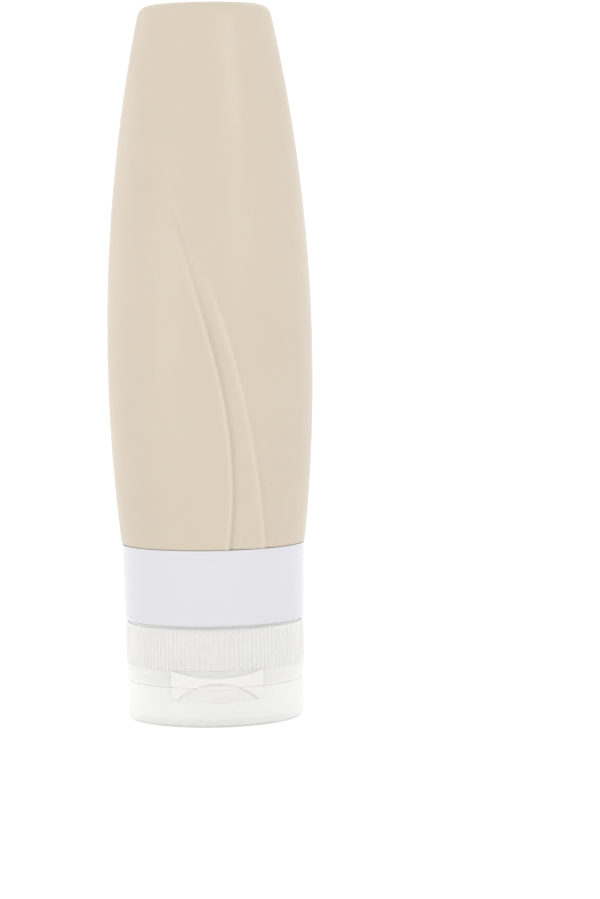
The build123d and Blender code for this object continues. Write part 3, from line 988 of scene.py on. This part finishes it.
def wall_plate(name, x, low, high, outer, thickness, rows=24):
    """Closed plate on the cap's round wall, told by its upright section at each x.

    The section is a rectangle with rounded corners, a superellipse: at the share t of its
    height, half the thickness times (1 - |2t - 1|^24)^(1/24) lies on each side of the middle.
    y = -sqrt(radius^2 - x^2). Each end is closed by faces between the two sides.
    """
    t = (1 - np.cos(np.linspace(0, np.pi, rows + 1))) / 2
    bulge = np.maximum(1 - np.abs(2 * t - 1) ** CORNER_POWER, 0) ** (1 / CORNER_POWER)
    depth = np.concatenate([bulge, -bulge[-2:0:-1]])
    along = np.concatenate([t, t[-2:0:-1]])
    low, high, outer, thickness = (
        np.broadcast_to(value, x.shape)[:, None] for value in (low, high, outer, thickness)
    )
    radii = outer - thickness / 2 * (1 - depth)
    points = np.empty((len(x), 2 * rows, 3))
    points[..., 0] = x[:, None]
    points[..., 1] = -np.sqrt(np.maximum(radii**2 - x[:, None] ** 2, 0))
    points[..., 2] = low + along * (high - low)
    index = np.arange(points[..., 0].size).reshape(points.shape[:2])
    ahead = np.roll(index, -1, axis=1)
    quads = np.stack([index[:-1], index[1:], ahead[1:], ahead[:-1]], axis=-1).reshape(-1, 4)
    up, down = np.arange(rows + 1), -np.arange(rows + 1)
    closing = np.concatenate([
        np.stack([up[:-2], up[1:-1], down[1:-1]], axis=-1),
        np.stack([up[1:-1], down[2:], down[1:-1]], axis=-1),
    ])
    triangles = np.concatenate([index[0][closing], index[-1][closing][:, ::-1]])
    return mesh_object(name, points.reshape(-1, 3), quads, triangles)


# The plates end an inset inside the solid. There they are rounded by a superellipse that
# ends a margin further out, down to these shares of their height and thickness.
PLATE_INSET, PLATE_MARGIN, PLATE_POWER = 0.03 * MM, 0.02 * MM, 60
LEAST_HEIGHT, LEAST_THICKNESS = 0.9, 0.7

# Share of a half sine wave that spaces the plate's columns, closer towards its ends
CROWDING = 0.97


class BOTTLE_OT_butterfly_hinge(bpy.types.Operator):
    """Butterfly hinge: upper plate on the cap, two wings on the lid, and the film between them"""

    bl_idname = "bottle.butterfly_hinge"
    bl_label = "Butterfly hinge"

    def execute(self, context):
        shape = settings().bottle_cap
        seam = shape.band_bottom - shape.seam_gap / 2
        half = HINGE_HALF_WIDTH - PLATE_INSET

        def rounded(x, low, high):
            """Levels drawn in towards the middle near the ends, and the thickness there."""
            full = np.sqrt(np.maximum(1 - (np.abs(x) / (half + PLATE_MARGIN)) ** PLATE_POWER, 0))
            middle, tall = (low + high) / 2, (high - low) / 2 * between(LEAST_HEIGHT, full)
            thick = shape.hinge_thickness * between(LEAST_THICKNESS, full)
            return middle - tall, middle + tall, thick

        across = np.sin(np.linspace(-1, 1, 121) * np.pi / 2 * CROWDING)
        x = half * (across / np.sin(np.pi / 2 * CROWDING))
        cut = np.maximum(hinge_low_line(x), seam + shape.wing_gap / 2)
        low, high, thick = rounded(x, cut, hinge_top_line(x))
        plate = wall_plate("butterfly_hinge_skin", x, low, high, HINGE_RADIUS, thick)
        finish_piece(plate, "cap", ["butterfly_hinge"], "hinge plastic")

        for side, name in ((-1, "left_wing_skin"), (1, "right_wing_skin")):
            x = np.linspace(shape.wing_start, half, 48)[::side] * side
            low, high, thick = rounded(
                x, np.minimum(hinge_low_line(x), seam - shape.wing_gap), seam - shape.wing_gap / 2
            )
            wing = wall_plate(name, x, low, high, HINGE_RADIUS, thick)
            finish_piece(wing, "lid", [], "hinge plastic")

        x = np.linspace(-shape.wing_start, shape.wing_start, 61)
        low, high = seam - shape.film_reach, seam + shape.film_reach
        down = (arch_line(x) - seam) / (shape.hinge_arch - shape.scoop_bottom)
        outer = shape.band_radius - shape.scoop_depth * np.clip(down, 0, 1) + shape.film_proud
        film = wall_plate("hinge_film_skin", x, low, high, outer, shape.film_thickness, 40)
        film.data.materials.append(material("hinge plastic"))
        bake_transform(film)
        return {"FINISHED"}


# Points further out than this from the bore belong to the lid's outside
LID_SIDE_DEPTH = 0.2 * MM


class BOTTLE_OT_flip_lid(bpy.types.Operator):
    """Flip lid: a shallow cup with the spout's plug, the pocket and the scoop"""

    bl_idname = "bottle.flip_lid"
    bl_label = "Flip lid"

    def execute(self, context):
        shape = settings().bottle_cap
        bore = LID_RADIUS - shape.lid_wall
        top = shape.band_bottom - shape.seam_gap
        outline = section([
            (LID_HUB, 0.0, 0, 8),
            (LID_RADIUS, 0.0, shape.lid_round / MM, 44),
            (LID_RADIUS, top, 0.06, 2),
            (bore, top, 0.16, 4),
            (bore, shape.lid_wall, 0.5, 8),
            (shape.plug_radius, shape.lid_wall, 0.3, 4),
            (shape.plug_radius, shape.plug_top, 0.5, 2),
            (LID_HUB, shape.plug_top, 0, 1),
        ], loop=False)
        angles = columns_round(low=-34.0, high=34.0, fine=0.45, coarse=2.4)
        radius, heights = outline[:, 0], outline[:, 1]
        outer = radius > bore + LID_SIDE_DEPTH
        radii = radius[:, None] - outer[:, None] * front_cuts(angles, heights, LID_RADIUS)
        piece = skin(
            "flip_lid_skin", turned(radii, heights, angles),
            start=(0, 0, heights[0]), end=(0, 0, heights[-1]), sharp=50.0,
        )
        finish_piece(piece, "lid", ["flip_lid"], "translucent lid")
        return {"FINISHED"}


SEAL_BORE = 12.6 * MM

# The valve: width of its thick rim, thickness of its film, and the margin without a slit
VALVE_RIM, VALVE_FILM, FILM_MARGIN = 2.0 * MM, 0.6 * MM, 0.3 * MM

# The two crossed slits, which end 1.5 widths from their middle lines, and the depth at the pole
SLIT_REACH, SLIT_WIDTH, SLIT_END, SLIT_DEPTH = 2.2 * MM, 0.07 * MM, 1.5, 0.22 * MM
POLE_DEPTH = 0.2 * MM


class BOTTLE_OT_seal_and_valve(bpy.types.Operator):
    """Seal ring, slit valve with its cross cut, and the ring that holds the valve"""

    bl_idname = "bottle.seal_and_valve"
    bl_label = "Seal and valve"

    def execute(self, context):
        seal = ring("seal_ring_skin", [
            (SEAL_BORE, SEAL_BOTTOM, 0.3, 3),
            (SEAL_RADIUS, SEAL_BOTTOM, 0.3, 2),
            (SEAL_RADIUS, SEAL_TOP, 0.3, 3),
            (SEAL_BORE, SEAL_TOP, 0.3, 2),
        ], columns=160)
        finish_piece(seal, "cap", ["seal_ring"], "seal rubber")

        dish, film_top = VALVE_RADIUS - VALVE_RIM, VALVE_BOTTOM + VALVE_FILM
        outline = section([
            (VALVE_HUB, VALVE_BOTTOM, 0, 30),
            (dish, VALVE_BOTTOM, 0.2, 4),
            (VALVE_RADIUS, VALVE_BOTTOM, 0.2, 2),
            (VALVE_RADIUS, VALVE_TOP, 0.2, 3),
            (dish, VALVE_TOP, 0.15, 2),
            (dish, film_top, 0.15, 30),
            (VALVE_HUB, film_top, 0, 1),
        ], loop=False)
        points = turned(outline[:, :1], outline[:, 1], even_columns(240))
        x, y = np.abs(points[..., 0]), np.abs(points[..., 1])
        slit = ease(SLIT_END - np.minimum(x, y) / SLIT_WIDTH) * (np.maximum(x, y) < SLIT_REACH)
        inwards = np.where(points[..., 2] < VALVE_BOTTOM + VALVE_FILM / 2, slit, -slit)
        points[..., 2] += inwards * SLIT_DEPTH * (outline[:, :1] < dish - FILM_MARGIN)
        valve = skin(
            "slit_valve_skin", points,
            start=(0, 0, VALVE_BOTTOM + POLE_DEPTH), end=(0, 0, film_top - POLE_DEPTH),
        )
        finish_piece(valve, "cap", ["slit_valve"], "valve silicone")

        retainer = ring("valve_retainer_skin", [
            (dish, RETAINER_BOTTOM, 0.1, 2),
            (RETAINER_RADIUS, RETAINER_BOTTOM, 0.1, 2),
            (RETAINER_RADIUS, RETAINER_TOP, 0.3, 2),
            (dish, RETAINER_TOP, 0.3, 2),
        ], columns=160)
        finish_piece(retainer, "cap", ["valve_retainer"], "hard neck")
        return {"FINISHED"}


def soft_lamp(name, place, aim, width, height, power):
    """A rectangular area lamp at a place, facing the aim."""
    light = bpy.data.lights.new(name, "AREA")
    light.shape = "RECTANGLE"
    light.size, light.size_y = width, height
    light.energy = power
    lamp = bpy.data.objects.new(name, light)
    lamp.location = place
    lamp.rotation_euler = (Vector(aim) - Vector(place)).to_track_quat("-Z", "Y").to_euler()
    bpy.context.scene.collection.objects.link(lamp)


def rays_that_see(tree):
    """Node that gives 1 for camera, glossy and transmission rays, and 0 for those that light."""
    path = add(tree, "LightPath")
    seen_or_glossy, seen = (add(tree, "Math", operation="MAXIMUM") for _ in range(2))
    wire(
        tree,
        (path, "Is Camera Ray", seen_or_glossy, 0), (path, "Is Glossy Ray", seen_or_glossy, 1),
        (seen_or_glossy, 0, seen, 0), (path, "Is Transmission Ray", seen, 1),
    )
    return seen


WHITE = (1.0, 1.0, 1.0, 1.0)
SENSOR_MM, CLIP_NEAR, CLIP_FAR = 36.0, 0.01, 20.0

# Half the floor's side, and how far it lies under the lid
FLOOR_HALF, FLOOR_GAP = 3.0, 0.1 * MM
FLOOR_PAINT = {"Roughness": 0.9, "Specular IOR Level": 0.0, "Emission Color": WHITE}

# Place, width and height of each soft lamp in metres, and its power's property
LAMPS = {
    "key lamp": ((-1.1, 0.6, 0.3), 0.9, 0.9, "key_power"),
    "side lamp": ((-0.9, -0.7, 0.17), 0.6, 0.3, "side_power"),
    "fill lamp": ((0.55, -0.72, 0.45), 0.25, 0.35, "fill_power"),
}
LAMPS_AIM = (0.0, 0.0, 0.075)


class BOTTLE_OT_stage(bpy.types.Operator):
    """Pale floor, white surroundings, three soft lamps and the camera"""

    bl_idname = "bottle.stage"
    bl_label = "Stage"

    def execute(self, context):
        scene = context.scene
        stage = scene.bottle_stage
        finish = scene.bottle_finish

        side, turn = stage.camera_side, stage.camera_turn
        tilt, roll = stage.camera_tilt, stage.camera_roll
        place = Vector((
            stage.camera_distance * sin(side), -stage.camera_distance * cos(side),
            stage.camera_height,
        ))
        forward = Vector((sin(turn) * cos(tilt), cos(turn) * cos(tilt), sin(tilt)))
        level = Vector((cos(turn), -sin(turn), 0.0))
        above = level.cross(forward)
        right = cos(roll) * level + sin(roll) * above
        up = -sin(roll) * level + cos(roll) * above
        camera_data = bpy.data.cameras.new("photo camera")
        camera_data.sensor_width = SENSOR_MM
        camera_data.lens = stage.lens
        camera_data.clip_start, camera_data.clip_end = CLIP_NEAR, CLIP_FAR
        camera = bpy.data.objects.new("photo camera", camera_data)
        camera.matrix_world = Matrix((
            (right.x, up.x, -forward.x, place.x),
            (right.y, up.y, -forward.y, place.y),
            (right.z, up.z, -forward.z, place.z),
            (0, 0, 0, 1),
        ))
        scene.collection.objects.link(camera)
        scene.camera = camera

        corners = np.array([(-1, -1), (1, -1), (1, 1), (-1, 1)]) * FLOOR_HALF
        heights = np.full((4, 1), FLOOR_LEVEL - FLOOR_GAP)
        floor = mesh_object(
            "floor", np.concatenate([corners, heights], axis=1), np.array([[0, 1, 2, 3]]),
            np.empty((0, 3), int),
        )
        paint = bpy.data.materials.new("pale floor")
        paint.use_nodes = True
        tree = paint.node_tree
        shader = put(tree.nodes["Principled BSDF"], FLOOR_PAINT)
        seen = rays_that_see(tree)
        colours = {6: (*finish.floor, 1.0), 7: (*finish.floor_seen, 1.0)}
        tint = add(tree, "Mix", colours, data_type="RGBA")
        lift = add(tree, "MapRange", {"To Max": stage.floor_lift})
        clear, geometry = add(tree, "BsdfTransparent"), add(tree, "NewGeometry")
        one_sided = add(tree, "MixShader")
        wire(
            tree,
            (seen, 0, tint, 0), (seen, 0, lift, "Value"),
            (tint, 2, shader, "Base Color"), (lift, "Result", shader, "Emission Strength"),
            (geometry, "Backfacing", one_sided, "Fac"), (shader, 0, one_sided, 1),
            (clear, 0, one_sided, 2), (one_sided, 0, tree.nodes["Material Output"], "Surface"),
        )
        floor.data.materials.append(paint)

        world = bpy.data.worlds.new("white studio")
        scene.world = world
        world.use_nodes = True
        tree = world.node_tree
        sky = put(tree.nodes["Background"], {"Color": WHITE})
        strength = add(tree, "MapRange", {"To Min": stage.daylight, "To Max": stage.backdrop})
        wire(
            tree,
            (rays_that_see(tree), 0, strength, "Value"), (strength, "Result", sky, "Strength"),
        )

        for name, (place, width, height, power) in LAMPS.items():
            soft_lamp(name, place, LAMPS_AIM, width, height, getattr(stage, power))

        scene.view_settings.view_transform = "Standard"
        return {"FINISHED"}


class BOTTLE_PT_panel(bpy.types.Panel):
    """Lists the bottle's pieces and its stage"""

    bl_idname = "BOTTLE_PT_panel"
    bl_label = "Squeeze Bottle"
    bl_space_type = "VIEW_3D"
    bl_region_type = "UI"
    bl_category = "Bottle"

    def draw(self, context):
        for operator in OPERATORS:
            self.layout.operator(operator.bl_idname)


GROUPS = (
    ("bottle_body", BottleBodyShape),
    ("bottle_collar", BottleCollarShape),
    ("bottle_neck", BottleNeckShape),
    ("bottle_cap", BottleCapShape),
    ("bottle_finish", BottleFinish),
    ("bottle_stage", BottleStage),
)

OPERATORS = (
    BOTTLE_OT_stage,
    BOTTLE_OT_squeeze_body,
    BOTTLE_OT_collar,
    BOTTLE_OT_neck_insert,
    BOTTLE_OT_cap_base,
    BOTTLE_OT_butterfly_hinge,
    BOTTLE_OT_flip_lid,
    BOTTLE_OT_seal_and_valve,
)


def register():
    """Registers the property groups, the operators and the panel."""
    for name, group in GROUPS:
        bpy.utils.register_class(group)
        setattr(bpy.types.Scene, name, bpy.props.PointerProperty(type=group))
    for item in OPERATORS:
        bpy.utils.register_class(item)
    bpy.utils.register_class(BOTTLE_PT_panel)


def unregister():
    """Removes what register added."""
    bpy.utils.unregister_class(BOTTLE_PT_panel)
    for item in reversed(OPERATORS):
        bpy.utils.unregister_class(item)
    for name, group in reversed(GROUPS):
        delattr(bpy.types.Scene, name)
        bpy.utils.unregister_class(group)


def main():
    register()
    bpy.ops.bottle.stage()
    bpy.ops.bottle.squeeze_body()
    bpy.ops.bottle.collar()
    bpy.ops.bottle.neck_insert()
    bpy.ops.bottle.cap_base()
    bpy.ops.bottle.butterfly_hinge()
    bpy.ops.bottle.flip_lid()
    bpy.ops.bottle.seal_and_valve()


if __name__ == "__main__":
    main()
